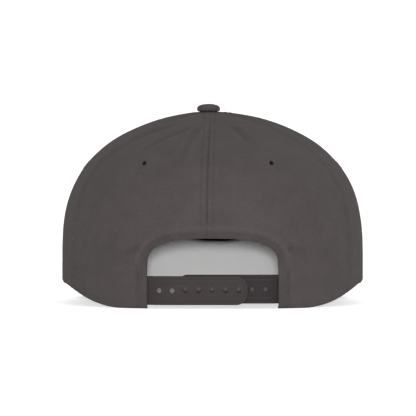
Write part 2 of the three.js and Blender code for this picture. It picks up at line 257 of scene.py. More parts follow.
def rim_height(angle):
    turn = abs((angle + 540) % 360 - 180)
    side = RIM_SIDE_LIFT * ease(turn, 31, 72)
    front = visor_slope(plan_place(angle)) - visor_drop + VISOR_THICKNESS + 0.3 * MM
    return mix(side, front, ease(turn, 72, HORN_ANGLE))


print("rim in front, mm:", round(rim_height(180) / MM, 1))


# %% Find places on the block
def climb_at_height(angle, height):
    if height <= WALL_TOP:
        rim = rim_height(angle)
        return RIM_CUT * (height - rim) / (WALL_TOP - rim)
    up = min(1, (height - WALL_TOP) / RISE) ** (roundness(angle)[1] / 2)
    return RIM_CUT + (1 - RIM_CUT) * math.asin(up) * 2 / math.pi


def block_place(angle, climb):
    if climb <= RIM_CUT:
        place = plan_place(angle)
        place.z = mix(rim_height(angle), WALL_TOP, climb / RIM_CUT)
        return place + BLOCK_TO_CAP
    turn = (climb - RIM_CUT) / (1 - RIM_CUT) * math.pi / 2
    power_out, power_up = roundness(angle)
    out = max(0, math.cos(turn)) ** (2 / power_out)
    place = plan_place(angle, out)
    place.z = WALL_TOP + RISE * math.sin(turn) ** (2 / power_up)
    place.x += APEX_LEAN * (1 - out) ** 4
    return place + BLOCK_TO_CAP


def block_normal(angle, climb):
    step = 1e-3
    up = block_place(angle, climb + step) - block_place(angle, max(climb - step, 0))
    around = block_place(angle + step, climb) - block_place(angle - step, climb)
    return around.cross(up).normalized()


def block_behind(x, z):
    """The angle and climb of the place at the back of the crown that is seen at x and z."""
    angle = 0
    for _ in range(12):
        climb = climb_at_height(angle, z)
        off = x - block_place(angle, climb).x
        angle += math.degrees(off / (plan_radius(angle) * max(0.2, math.cos(math.radians(angle)))))
    return angle, climb_at_height(angle, z)


print("top of the block, mm:", round(block_place(0, 1).z / MM, 1))

# %% [markdown]
# ## Seams, hem and creases
#
# What makes sewn cloth look sewn is the relief beside each seam. The edges of two panels turn in
# and meet in a narrow valley. The seam allowances pressed open inside lift the cloth on both
# sides into a welt, and a row of topstitching pulls it down again a few millimetres away. The
# opening has a turned hem with a stitched line and a soft ridge above it. So the relief is a
# height that depends on how far a place is from each seam line, and each line is kept as a row of
# close points in a search tree.

# %% Draw the seam lines
SEAM_STEP = 0.25 * MM
CENTRE_SEAM = -2
SEAM_ANGLES = {"centre_back": CENTRE_SEAM, "back_right": 56, "front_right": 120,
               "centre_front": 180, "front_left": 240, "back_left": 302}
SEAM_STRENGTHS = {"back_right": 1.8, "back_left": 1.8}
APEX_CLIMB = 0.985


def even_points(points, step):
    """The same line with points at even steps along it."""
    spaced = [points[0].copy()]
    spare = 0
    for start, end in zip(points, points[1:]):
        length = (end - start).length
        while spare + length >= step and length > 0:
            start = start.lerp(end, (step - spare) / length)
            spaced.append(start.copy())
            length = (end - start).length
            spare = 0
        spare += length
    return spaced


class SewnLine:
    """A line on the cloth that a place's distance is measured from."""

    def __init__(self, points, strength=1.0):
        self.strength = strength
        self.points = even_points(points, SEAM_STEP)
        self.tree = kdtree.KDTree(len(self.points))
        for number, point in enumerate(self.points):
            self.tree.insert(point, number)
        self.tree.balance()

    def near(self, place):
        """How far away the line is, and how much of the line is left beyond the nearest point."""
        _, number, away = self.tree.find(place)
        return away, (len(self.points) - 1 - number) * SEAM_STEP


def seam_line(angle, strength):
    return SewnLine([block_place(angle, APEX_CLIMB * step / 200) for step in range(201)], strength)


ARCH_HALF = 37.5 * MM
ARCH_SHOULDER = 25 * MM
ARCH_HEIGHT = 39.5 * MM
ARCH_SQUARENESS = 2.6


def arch_outline(turn, margin=0.0):
    """The opening's edge at a turn from 0 at its right shoulder to pi at its left one."""
    power = 2 / ARCH_SQUARENESS
    across = abs(math.cos(turn)) ** power
    return (math.copysign(1, math.cos(turn)) * (ARCH_HALF + margin) * across,
            ARCH_SHOULDER + (ARCH_HEIGHT - ARCH_SHOULDER + margin) * math.sin(turn) ** power)


def arch_places(margin=0.0, steps=60):
    """The opening's whole edge as x and z, from the foot of its right side round to that of its left."""
    side = ARCH_HALF + margin
    upright = [(side, ARCH_SHOULDER * step / 20) for step in range(20)]
    top = [arch_outline(math.pi * step / steps, margin) for step in range(steps + 1)]
    return upright + top + [(-x, z) for x, z in reversed(upright)]


seams = {name: seam_line(angle, SEAM_STRENGTHS.get(name, 1)) for name, angle in SEAM_ANGLES.items()}
arch_edge = SewnLine([block_place(*block_behind(x, z)) for x, z in arch_places()])
rim_edge = SewnLine([block_place(angle / 2, 0) for angle in range(721)])
print("centre seam, mm:", round(len(seams["centre_front"].points) * SEAM_STEP / MM))

# %% Set the relief of the sewing
TOPSTITCH = 3.3 * MM
HEM_STITCH = 3.2 * MM
TAB_STITCH = 5.6 * MM
# Each row of a profile is a hump or a groove: its height, how far away it is, and its width, all in mm
SEAM_PROFILE = [(-0.6, 0, 0.5), (0.17, 1.7, 0.9), (-0.1, 3.3, 0.6), (0.12, 5.2, 1.3)]
HEM_PROFILE = [(-0.25, 3.2, 0.7), (0.45, 6.2, 1.5), (-0.2, 9.5, 2.4)]
TAB_PROFILE = [(-0.4, 5.6, 0.7), (-0.7, 0, 0.8)]
RIM_PROFILE = [(-0.8, 0, 0.9)]
HEM_ROLL = 1.5
HEM_ROLL_WIDTH = 4.6
TAB_STEP = 0.45
PUCKER_LENGTH = 2.4 * MM
arch_length = len(arch_edge.points) * SEAM_STEP


def hump(away, middle, width):
    return math.exp(-((away - middle) / width) ** 2)


def follow(profile, away_mm):
    return sum(height * hump(away_mm, middle, width) for height, middle, width in profile)


def seam_relief(away, left, strength):
    """Height of the cloth beside a seam, which is softer near the button."""
    d = away / MM
    if d > 12:
        return 0
    strength *= mix(0.3, 1, ease(left, 15 * MM, 60 * MM))
    unevenness = noise.noise(Vector((left / (9 * MM), 0, 0)))
    pucker = 0.07 * math.sin(left / PUCKER_LENGTH + 2 * unevenness)
    return MM * strength * (follow(SEAM_PROFILE, d) + pucker * hump(d, 3.6, 2.4))


def arch_relief(away, left):
    """Height of the cloth beside the opening: its rolled hem above, its flat tabs at the sides."""
    d = away / MM
    if d > 18:
        return 0
    to_foot = min(left, arch_length - left)
    upright = 1 - ease(to_foot, 20 * MM, 28 * MM)
    pucker = 0.25 * noise.noise(Vector((left / (4 * MM), 3.3, 0)))
    tab = follow(TAB_PROFILE, d) - TAB_STEP * (1 - ease(d, 6, 8.5))
    hem = follow(HEM_PROFILE, d) + pucker * hump(d, 6, 3.5)
    hem -= HEM_ROLL * max(0, 1 - d / HEM_ROLL_WIDTH) ** 0.8
    return MM * mix(hem, tab, upright)


def rim_relief(away):
    return MM * follow(RIM_PROFILE, away / MM)


# %% Set the creases and the pull of the eyelets
CREASE_STRENGTH = 1.5
CREASES = [
    # from angle, height share, to angle, height share, width mm, depth mm
    (-10, 0.90, -13.5, 0.70, 1.9, 0.9),
    (-16, 0.90, -36, 0.75, 2.3, 0.9),
    (18, 0.92, 20, 0.79, 2.3, 0.8),
    (-38, 0.92, -58, 0.70, 4.0, 1.2),
    (-43, 0.84, -53, 0.70, 1.6, 0.6),
    (44, 0.84, 54, 0.70, 1.6, 0.5),
    (-24, 0.30, -33, 0.27, 2.0, 0.6),
    (-15, 0.37, -21, 0.33, 2.0, 0.6),
    (25, 0.30, 33, 0.27, 2.0, 0.6),
]
crease_lines = []
for from_angle, top, to_angle, foot, width, depth in CREASES:
    crease_lines.append((block_place(from_angle, climb_at_height(from_angle, top * CROWN_TOP)),
                         block_place(to_angle, climb_at_height(to_angle, foot * CROWN_TOP)),
                         width * MM, depth * MM))


def crease_depth(place):
    depth = 0
    for start, end, width, deepest in crease_lines:
        nearest, share = geometry.intersect_point_line(place, start, end)
        if share < 0 or share > 1:
            nearest = start if share < 0 else end
        away = (nearest - place).length / width
        fade = ease(share, -0.1, 0.2) * (1 - ease(share, 0.5, 1.1))
        depth += CREASE_STRENGTH * fade * deepest * (hump(away, 0, 1) - 0.4 * hump(away, 2.1, 0.9))
    return depth


def slackness(place):
    """The gentle unevenness of cloth that is pressed but not stretched."""
    broad = noise.noise(place / (26 * MM))
    fine = noise.noise(place / (9 * MM) + Vector((7, 0, 0)))
    return (0.30 * broad + 0.07 * fine) * MM


# Round its eyelet, the cloth of a back panel is pulled to stand more upright than the block
EYELET_HEIGHT = 82.5 * MM
EYELET_ANGLES = {"back_right": 24.5, "side_right": 88, "front_right": 150,
                 "front_left": 210, "side_left": 271, "back_left": 331}
EYELET_TILT = 25
EYELET_PULL_WIDTH = 5.5
eyelet_pulls = []
for name in ("back_right", "back_left"):
    angle = EYELET_ANGLES[name]
    climb = climb_at_height(angle, EYELET_HEIGHT)
    uphill = (block_place(angle, climb + 0.01) - block_place(angle, climb)).normalized()
    eyelet_pulls.append((block_place(angle, climb), uphill))


def eyelet_pull(place):
    lift = 0
    for middle, uphill in eyelet_pulls:
        off = place - middle
        if off.length < 20 * MM:
            slope = math.tan(math.radians(EYELET_TILT))
            lift += off.dot(uphill) * slope * hump(off.length / MM, 0, EYELET_PULL_WIDTH)
    return lift


def cloth_point(angle, climb, lines=(), arch=False):
    """A place on the outside of the crown's cloth, and how far the sewing and creases lift the cloth
    there, which the cloth's colour turns into painted shade in valleys and painted light on ridges.
    """
    place = block_place(angle, climb)
    sewing = rim_relief(rim_edge.near(place)[0])
    hem_away = arch_edge.near(place)
    if arch:
        sewing += arch_relief(*hem_away)
    for line in lines:
        share = mix(0.35, 1, ease(hem_away[0], 5 * MM, 12 * MM)) if arch else 1
        sewing += share * seam_relief(*line.near(place), line.strength)
    creases = crease_depth(place)
    lift = slackness(place) - creases + sewing + eyelet_pull(place)
    return place + block_normal(angle, climb) * lift, sewing - 0.7 * creases


def cloth_place(angle, climb, lines=(), arch=False):
    return cloth_point(angle, climb, lines, arch)[0]


print("creases:", len(crease_lines))

# %% [markdown]
# ## Crown panels
#
# Each panel is a gore cut from flat cloth: wide at the rim and pointed at the top. It could be cut
# from one dome, but then the weave would run straight over the seams. So each panel is a flat grid
# with its own weave, laid on the block point by point, as a sheet of cloth is pressed over it. The
# grid's lines crowd together near the seams, where the relief is narrow, and the two back panels
# have one more edge, round the opening. Solidify then gives the cloth its thickness inwards.
# Neighbouring panels overlap by a hair in the seam, so that no light gets through. The size of
# each panel's flat cut is read from its weave map.

# %% Space the lines of a panel's grid
CLOTH_THICKNESS = 1.3 * MM
CLOSE_LINES = [0, 0.3, 0.6, 0.95, 1.35, 1.8, 2.3, 2.75, 3.1, 3.45, 3.9, 4.5, 5.3, 6.4]
GORE_MIDDLE_LINES = 36


def crowded(count_between, width_mm, at_start=True, at_end=True):
    """Shares from 0 to 1 that crowd together at the ends that carry a seam."""
    reach = CLOSE_LINES[-1]
    scale = 1 / max(width_mm, reach / 0.3)
    head = [line * scale for line in CLOSE_LINES] if at_start else [0]
    tail = [1 - line * scale for line in reversed(CLOSE_LINES)] if at_end else [1]
    between = [mix(head[-1], tail[0], (step + 1) / (count_between + 1)) for step in range(count_between)]
    return head + between + tail


def climb_table(angle):
    """Climbs at even lengths of cloth from the rim to the top, along one angle of the block."""
    climbs = [(step / 600) ** 1.5 * 0.75 + 0.25 if step else 0.25 for step in range(600)]
    climbs = [RIM_CUT * step / 40 for step in range(40)] + climbs
    climbs = [climb for climb in climbs if climb < 0.9985] + [0.9985]
    lengths = [0]
    for low, high in zip(climbs, climbs[1:]):
        lengths.append(lengths[-1] + (block_place(angle, high) - block_place(angle, low)).length)
    return climbs, lengths


def look_up(keys, values, key):
    """The value that belongs to a key, between two rows of a table."""
    row = min(max(bisect.bisect_right(keys, key) - 1, 0), len(keys) - 2)
    span = keys[row + 1] - keys[row]
    return mix(values[row], values[row + 1], (key - keys[row]) / span if span else 0)


def climb_at_share(table, share):
    climbs, lengths = table
    return look_up(lengths, climbs, share * lengths[-1])


def share_at_climb(table, climb):
    climbs, lengths = table
    return look_up(climbs, lengths, climb) / lengths[-1]


print("lines across a panel:", len(crowded(GORE_MIDDLE_LINES, 90)))


# %% Lay a grid of cloth
def lay_cloth(name, columns, rows, point_at):
    """Adds a flat grid and moves its points. point_at gives each one's place, its place on the flat cut
    in metres, and how far the sewing lifts it."""
    clear_selection()
    bpy.ops.mesh.primitive_grid_add(x_subdivisions=columns - 1, y_subdivisions=rows - 1, size=2)
    sheet = bpy.context.object
    sheet.name = name
    sheet.data.name = name
    weave = []
    # The relief height is kept for the cloth's colour, which turns it into painted shade in valleys and
    # painted light on ridges.
    relief = sheet.data.attributes.new("relief", "FLOAT", "POINT")
    for point in sheet.data.vertices:
        column = round((point.co.x + 1) / 2 * (columns - 1))
        row = round((point.co.y + 1) / 2 * (rows - 1))
        point.co, flat_place, lift = point_at(column, row)
        weave.append(flat_place)
        relief.data[point.index].value = lift / MM
    weave_map = sheet.data.uv_layers.active
    weave_map.name = "weave"
    for loop in sheet.data.loops:
        weave_map.data[loop.index].uv = weave[loop.vertex_index]
    return sheet


def flat_cut(piece):
    """The width and length of the flat cloth that a piece is cut from, and its area."""
    spots = [spot.uv for spot in piece.data.uv_layers["weave"].data]
    across, along = [spot.x for spot in spots], [spot.y for spot in spots]
    area = 0
    for face in piece.data.polygons:
        a, b, c, d = [spots[loop] for loop in face.loop_indices]
        area += geometry.area_tri(a, b, c) + geometry.area_tri(c, d, a)
    return (max(across) - min(across), max(along) - min(along)), area


def use_modifier(piece, kind, **settings):
    """Adds a modifier to a piece, sets it and applies it."""
    pick(piece)
    bpy.ops.object.modifier_add(type=kind)
    modifier = piece.modifiers[-1]
    for name, value in settings.items():
        setattr(modifier, name, value)
    bpy.ops.object.modifier_apply(modifier=modifier.name)


def smooth(piece, angle=50):
    pick(piece)
    bpy.ops.object.shade_smooth_by_angle(angle=math.radians(angle))


# %% Make the four panels without the opening
SEAM_OVERLAP = 0.06 * MM
GORES = {"side_right_panel": ("back_right", "front_right"),
         "front_right_panel": ("front_right", "centre_front"),
         "front_left_panel": ("centre_front", "front_left"),
         "side_left_panel": ("front_left", "back_left")}
GORE_ROWS = 96
GORE_HEM_ROWS = [0, 0.002, 0.005, 0.009, 0.014]


def gore_panel(name, first_seam, second_seam):
    from_angle, to_angle = SEAM_ANGLES[first_seam], SEAM_ANGLES[second_seam]
    middle = (from_angle + to_angle) / 2
    table = climb_table(middle)
    length = table[1][-1]
    row_shares = GORE_HEM_ROWS + [mix(0.02, 1, step / GORE_ROWS) for step in range(GORE_ROWS + 1)]
    lines = [seams[first_seam], seams[second_seam]]

    def point_at(column, row):
        climb = climb_at_share(table, row_shares[row])
        reach = max((block_place(middle, climb) - BLOCK_TO_CAP).xy.length, 1.5 * MM)
        width = math.radians(to_angle - from_angle) * reach
        share = crowded(GORE_MIDDLE_LINES, width / MM)[column]
        trim = -math.degrees(SEAM_OVERLAP / 2 / reach)
        angle = mix(from_angle + trim, to_angle - trim, share)
        place, lift = cloth_point(angle, climb, lines)
        return place, ((share - 0.5) * width, row_shares[row] * length), lift

    return lay_cloth(name, len(crowded(GORE_MIDDLE_LINES, 90)), len(row_shares), point_at)


panels = {name: gore_panel(name + "_cloth", *gore) for name, gore in GORES.items()}
print("points in a panel:", len(panels["side_right_panel"].data.vertices))

# %% [markdown]
# ### The back panels
#
# A back panel has four edges that meet at clear corners: the rim, the seam to the side panel, the
# centre seam and the opening. So its grid is stretched between these four edges. The edges are
# drawn on a flat chart of the block with its top in the middle, the grid is filled in there, and
# each point is carried back on to the block.


# %% Chart the block
def to_chart(table, angle, climb):
    turn = math.radians(angle)
    return Vector((math.sin(turn), -math.cos(turn))) * (1 - share_at_climb(table, climb))


def from_chart(table, place):
    angle = math.degrees(math.atan2(place.x, -place.y))
    return angle, climb_at_share(table, 1 - min(1, place.length))


def point_along(line, share):
    """A place at a share of the length of a line of chart points."""
    lengths = [0]
    for start, end in zip(line, line[1:]):
        lengths.append(lengths[-1] + (end - start).length)
    target = share * lengths[-1]
    for number in range(1, len(line)):
        if lengths[number] >= target or number == len(line) - 1:
            span = lengths[number] - lengths[number - 1]
            return line[number - 1].lerp(line[number], (target - lengths[number - 1]) / span)
    return line[-1]


def opening_edge(side):
    """The opening's edge on one side, from the rim up to the centre seam, as x and z."""
    places = arch_places(steps=120)
    if side < 0:
        places = places[::-1]
    kept = []
    for x, z in places:
        seam_x = block_place(CENTRE_SEAM, climb_at_height(CENTRE_SEAM, z)).x
        if (x - seam_x) * side < 0:
            share = (kept[-1][0] - seam_x) / (kept[-1][0] - x)
            kept.append((seam_x, mix(kept[-1][1], z, share)))
            break
        kept.append((x, z))
    return kept


# %% Make the two back panels
BACK_COLUMNS = crowded(58, 62)
BACK_ROWS = [0, 0.005, 0.011, 0.02, 0.032] + crowded(78, 75, at_start=False)[3:]


def weave_on_block(angle, climb, middle, table):
    reach = (block_place(middle, climb) - BLOCK_TO_CAP).xy.length
    return math.radians(angle - middle) * reach, share_at_climb(table, climb) * table[1][-1]


def back_panel(name, side, seam_angle, side_seam):
    table = climb_table(25 * side)
    edge = opening_edge(side)
    opening = []
    for x, z in edge:
        angle, climb = block_behind(x, z)
        opening.append(to_chart(table, angle, max(climb, 0)))
    foot, top = opening[0], opening[-1]
    foot_angle = from_chart(table, foot)[0]
    apex = Vector((0, 0))
    rim = [to_chart(table, mix(foot_angle, seam_angle, step / 40), 0) for step in range(41)]
    outs = BACK_COLUMNS if side > 0 else BACK_COLUMNS[::-1]
    on_rim = [point_along(rim, out) for out in outs]
    on_centre = [top.lerp(apex, out) for out in outs]
    on_opening = [point_along(opening, up) for up in BACK_ROWS]
    on_seam = [rim[-1].lerp(apex, up) for up in BACK_ROWS]
    lines = [seams["centre_back"], seams[side_seam]]

    def point_at(column, row):
        out, up = outs[column], BACK_ROWS[row]
        corners = foot.lerp(rim[-1], out).lerp(on_centre[column], up)
        chart = on_opening[row].lerp(on_seam[row], out) + on_rim[column].lerp(on_centre[column], up)
        angle, climb = from_chart(table, chart - corners)
        place, lift = cloth_point(angle, climb, lines, arch=True)
        return place, weave_on_block(angle, climb, 29 * side, table), lift

    return lay_cloth(name, len(outs), len(BACK_ROWS), point_at)


for name, side in (("back_right", 1), ("back_left", -1)):
    seam_angle = SEAM_ANGLES[name] if side > 0 else SEAM_ANGLES[name] - 360
    panels[name + "_panel"] = back_panel(name + "_panel_cloth", side, seam_angle, name)
print("panels:", len(panels))

# %% Thicken the panels and cut their eyelet holes
HOLE_RADIUS = 2.3 * MM


def facing_out(name, depth):
    """A frame whose Z points out of the cloth at an eyelet, at a depth below its face."""
    angle = EYELET_ANGLES[name]
    climb = climb_at_height(angle, EYELET_HEIGHT)
    place = block_place(angle, climb)
    normal = block_normal(angle, climb)
    place += normal * (slackness(place) - crease_depth(place) - depth)
    if name.startswith("back"):
        sideways = normal.cross(Vector((0, 0, 1))).normalized()
        normal = Matrix.Rotation(math.radians(-EYELET_TILT), 3, sideways) @ normal
    return Matrix.Translation(place) @ normal.to_track_quat("Z", "Y").to_matrix().to_4x4()


def settle(piece):
    """Puts a piece's place into its mesh, with its object at the origin."""
    pick(piece)
    bpy.ops.object.transform_apply(location=True, rotation=True, scale=True)


def cut_with(piece, cutter):
    use_modifier(piece, "BOOLEAN", operation="DIFFERENCE", object=cutter, solver="EXACT")
    bpy.data.objects.remove(cutter)


names = list(EYELET_ANGLES)
for name, sewn_to in zip(names, names[1:] + names[:1]):
    panel = panels[name + "_panel"]
    flat, area = flat_cut(panel)
    print(name, "cut, mm:", [round(size / MM) for size in flat], "area, cm2:", round(area * 1e4))
    use_modifier(panel, "SOLIDIFY", thickness=CLOTH_THICKNESS, offset=-1)
    clear_selection()
    bpy.ops.mesh.primitive_cylinder_add(vertices=24, radius=HOLE_RADIUS, depth=8 * MM)
    drill = bpy.context.object
    drill.matrix_world = facing_out(name, 0)
    settle(drill)
    cut_with(panel, drill)
    smooth(panel)
    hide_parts(name + "_panel")
    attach(panel, "root")
print("faces in the back right panel:", len(panels["back_right_panel"].data.polygons))

# %% [markdown]
# ## Eyelets
#
# The air holes are bound with thread, like a small buttonhole, in the colour of the cloth. It
# could be a metal ring, but the photograph shows a matt rim. The ring is a torus pressed a little
# flat, and its tube swells at every turn of thread. One ring is made, and the other five are
# copies of it. All but the two at the back are sunk deeper, so that they don't break the outline.

# %% Bind one eyelet and copy it
EYELET_RING = 2.25 * MM
EYELET_TUBE = 0.95 * MM
EYELET_SINK = 0.4 * MM
DEEPER_SINK = 0.72 * MM
THREAD_TURNS = 30

clear_selection()
bpy.ops.mesh.primitive_torus_add(major_segments=120, minor_segments=14,
                                 major_radius=EYELET_RING, minor_radius=EYELET_TUBE)
eyelet = bpy.context.object
bpy.ops.object.mode_set(mode="EDIT")
bpy.ops.transform.resize(value=(1, 1, 0.85))
bpy.ops.object.mode_set(mode="OBJECT")
for point in eyelet.data.vertices:
    around = math.atan2(point.co.y, point.co.x)
    ring = Vector((math.cos(around), math.sin(around), 0)) * EYELET_RING
    swell = 1 + 0.09 * math.cos(THREAD_TURNS * around) + 0.04 * noise.noise(point.co / (0.6 * MM))
    point.co = ring + (point.co - ring) * swell
smooth(eyelet, 180)

eyelets = []
for name, angle in EYELET_ANGLES.items():
    ring = eyelet.copy()
    ring.data = eyelet.data.copy()
    ring.name = name + "_eyelet_thread"
    bpy.context.scene.collection.objects.link(ring)
    seat = facing_out(name, EYELET_SINK if name.startswith("back") else DEEPER_SINK)
    ring.matrix_world = seat @ Matrix.Rotation(angle, 4, "Z")
    settle(ring)
    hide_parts(name + "_eyelet")
    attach(ring, "root")
    eyelets.append(ring)
bpy.data.objects.remove(eyelet)
print("eyelets:", len(eyelets))

# %% [markdown]
# ## Button
#
# A covered button is a metal cap with cloth stretched over it and gathered underneath. It is a
# ball pressed flat: its top is pressed more than its skirt, and the skirt turns in under it. The
# cloth's gathers show as faint waves round the skirt, and one crease crosses the top. A thin
# shank runs down through the panel tips to a clinched plate inside the crown.

# %% Press the button
BUTTON_RADIUS = 6.9 * MM
BUTTON_DOME = 2.8 * MM
BUTTON_SKIRT = 2.2 * MM
BUTTON_BELT = CROWN_TOP + 1.6 * MM
CLINCH_RADIUS = 3.6 * MM
CLINCH_THICKNESS = 0.8 * MM
CLINCH_DEPTH = 2.2 * MM
SHANK_RADIUS = 1.5 * MM
SHANK_LENGTH = 3.2 * MM
button_middle = block_place(0, 1)

clear_selection()
bpy.ops.mesh.primitive_uv_sphere_add(segments=72, ring_count=36, radius=BUTTON_RADIUS)
button = bpy.context.object
button.name = "top_button_cloth"
for point in button.data.vertices:
    out = Vector((point.co.x, point.co.y, 0))
    level = point.co.z / BUTTON_RADIUS
    around = math.atan2(out.y, out.x)
    round_it = Vector((2 * math.cos(around), 2 * math.sin(around), 0))
    gathers = 0.012 * math.cos(11 * around) + 0.02 * noise.noise(round_it)
    if level < 0:
        tuck = (1 - (-level) ** 5) ** 0.5 / max(0.05, (1 - level * level) ** 0.5)
        flat = out * tuck * (1 + gathers * min(1, -3 * level))
        point.co = flat + Vector((0, 0, -BUTTON_SKIRT * abs(level) ** 0.9))
    else:
        crease = math.exp(-((out.x * 0.5 + out.y * 0.87 + 1.5 * MM) / (0.9 * MM)) ** 2)
        lift = BUTTON_DOME * level ** 0.85 - 0.35 * MM * crease * level
        point.co = out * (1 + 0.3 * gathers) + Vector((0, 0, lift))
    point.co += Vector((button_middle.x, button_middle.y, BUTTON_BELT))
weave_map = button.data.uv_layers.active
weave_map.name = "weave"
for loop in button.data.loops:
    weave_map.data[loop.index].uv = button.data.vertices[loop.vertex_index].co.xy
smooth(button, 180)

clear_selection()
clinch_height = block_place(0, climb_at_height(0, CROWN_TOP - 0.5 * MM)).z - CLINCH_DEPTH
bpy.ops.mesh.primitive_cylinder_add(vertices=28, radius=CLINCH_RADIUS, depth=CLINCH_THICKNESS,
                                    location=(button_middle.x, button_middle.y, clinch_height))
clinch = bpy.context.object
bpy.ops.object.mode_set(mode="EDIT")
bpy.ops.mesh.select_all(action="DESELECT")
bpy.ops.mesh.select_mode(type="FACE")
bpy.ops.object.mode_set(mode="OBJECT")
for face in clinch.data.polygons:
    face.select = face.normal.z > 0.9
bpy.ops.object.mode_set(mode="EDIT")
bpy.ops.mesh.inset(thickness=CLINCH_RADIUS - SHANK_RADIUS)
bpy.ops.mesh.extrude_region_move(TRANSFORM_OT_translate={"value": (0, 0, SHANK_LENGTH)})
bpy.ops.object.mode_set(mode="OBJECT")
use_modifier(clinch, "BEVEL", width=0.2 * MM, segments=2, limit_method="ANGLE")
settle(clinch)
smooth(clinch)

button_cloth_faces = len(button.data.polygons)
join(button, clinch)
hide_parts("top_button")
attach(button, "root")
print("button top, mm:", round(max(point.co.z for point in button.data.vertices) / MM, 1))

# %% [markdown]
# ## Sweatband
#
# A pale strip of cloth runs round the inside above the rim, from one side of the opening to the
# other. It is the light area that shows through the opening. It could be a smooth ring, but a
# real one has a soft wave, because it is only held along the rim. So a long grid is laid inside
# the crown, a little in from the panels, waved towards its free upper edge, and given a wall.
# In front, its lower edge hangs below the rim, where it shows through the strap's open holes. Its
# upper edge there stands off the panels, rolls back and dips in the middle.

# %% Lay the sweatband
BAND_LENGTH = 500 * MM
BAND_HEIGHT = 32 * MM
BAND_SETBACK = 1.2 * MM
BAND_WALL = 1.2 * MM
BAND_HANG = 8.5 * MM
BAND_DIP = 6.8 * MM
BAND_ROLL = 2.8 * MM
BAND_COLUMNS = 300
BAND_ROWS = 46
STRAP_THICKNESS = 1.2 * MM
PIECE_GAP = 0.3 * MM
STRAP_TUCK = 9 * MM
STRAP_LANE = STRAP_THICKNESS + PIECE_GAP
PANEL_WALL = 1.6 * MM


def angle_at_width(width):
    """The angle at which the rim is a given distance from the middle plane."""
    angle = 0
    for _ in range(12):
        angle = math.degrees(math.asin(width / plan_radius(angle)))
    return angle


tab_angle = angle_at_width(ARCH_HALF)
tuck_angle = angle_at_width(ARCH_HALF + STRAP_TUCK)
band_start = angle_at_width(ARCH_HALF + 1.5 * MM)


def band_up(row):
    """How high up the band a row lies. The rows crowd together at the rolled upper edge."""
    return 1 - (1 - row / (BAND_ROWS - 1)) ** 1.7


def band_spot(column, row):
    angle = mix(band_start, 360 - band_start, column / (BAND_COLUMNS - 1))
    up = band_up(row)
    turn = abs((angle + 540) % 360 - 180)
    room = 1 - ease(turn, tuck_angle + 1, 2 * tuck_angle - tab_angle + 6)
    dip = BAND_DIP * (1 - ease(abs(angle - 178), 2, 24))
    hang = mix(BAND_HANG, dip, up) * ease(turn, 120, 150)
    height = rim_height(angle) + BAND_SETBACK + BAND_HEIGHT * up - hang
    return angle, height, PANEL_WALL + 0.6 * MM + STRAP_LANE * room, up


def band_place(column, row):
    angle, height, inset, up = band_spot(column, row)
    climb = max(0, climb_at_height(angle, height))
    place = block_place(angle, climb)
    place.z = height
    wave = 0.35 * MM * (0.5 + noise.noise(Vector((angle / 9, up, 4)))) * up
    fold = 0.25 * MM * (1 - ease(up, 0, 0.06))
    stitched = 0.15 * MM * math.exp(-((up - 0.8) / 0.02) ** 2)
    in_front = ease(abs(angle - 180), 75, 45)
    roll_height = max(0, BAND_ROLL - (1 - up) * BAND_HEIGHT)
    rolled = BAND_ROLL - math.sqrt(BAND_ROLL ** 2 - min(roll_height, BAND_ROLL * 0.995) ** 2)
    stand = BAND_ROLL * ease(up, 0.15, 0.8)
    inset += BAND_WALL + wave - fold - stitched + in_front * (stand - rolled)
    flat = column / (BAND_COLUMNS - 1) * BAND_LENGTH, up * BAND_HEIGHT
    return place - block_normal(angle, climb) * inset, flat, 0


sweatband = lay_cloth("sweatband_cloth", BAND_COLUMNS, BAND_ROWS, band_place)
band_cut, _ = flat_cut(sweatband)
print("sweatband cut, mm:", [round(size / MM) for size in band_cut])
use_modifier(sweatband, "SOLIDIFY", thickness=BAND_WALL * 0.9, offset=1)
smooth(sweatband)
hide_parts("sweatband")
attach(sweatband, "root")
print("sweatband points:", len(sweatband.data.vertices))

# %% [markdown]
# ## Visor
#
# The flat visor is a stiff board covered in the crown's cloth. In this view it is hidden behind
# the crown, so it is finished plainly: a board with rounded edges and rows of topstitching. A
# grid is laid between the front rim and the visor's outline, thickened to both sides, and its
# sharp edges are bevelled round.

# %% Cover the visor's board
VISOR_COLUMNS = 110
VISOR_ROWS = 34


def visor_flat(share, out):
    """A place on the visor's plan, from -1 to 1 across and from 0 at the crown to 1 at its edge."""
    angle = 180 + share * (180 - HORN_ANGLE)
    inner = plan_place(angle) - block_normal(angle, 0) * PANEL_WALL
    inner.z = 0
    return inner.lerp(visor_edge(share), out)


def visor_place(share, out, height=0.0):
    flat = visor_flat(share, out)
    flat.z = visor_slope(flat) - visor_drop + VISOR_THICKNESS / 2 + height
    return flat + BLOCK_TO_CAP


def visor_point(column, row):
    spot = 1 - 2 * column / (VISOR_COLUMNS - 1), row / (VISOR_ROWS - 1)
    return visor_place(*spot), visor_flat(*spot).xy, 0


visor = lay_cloth("visor_cloth", VISOR_COLUMNS, VISOR_ROWS, visor_point)
use_modifier(visor, "SOLIDIFY", thickness=VISOR_THICKNESS - 0.2 * MM, offset=0)
use_modifier(visor, "BEVEL", width=1.2 * MM, segments=4,
             limit_method="ANGLE", angle_limit=math.radians(50))
smooth(visor)
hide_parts("visor")
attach(visor, "root")
print("visor points:", len(visor.data.vertices))

# %% [markdown]
# ## Straps
#
# The snap closure is two moulded plastic straps that overlap across the opening. Each has a
# raised border round its edge, a shallow channel along the middle and, on the outer one, seven
# holes with small raised rims. The straps lie flat in the mould, so they are made flat: a grid
# cut to the rounded outline, its face pressed to the relief, thickened, and drilled. Only then
# are they bent along the line that the closure takes across the opening.

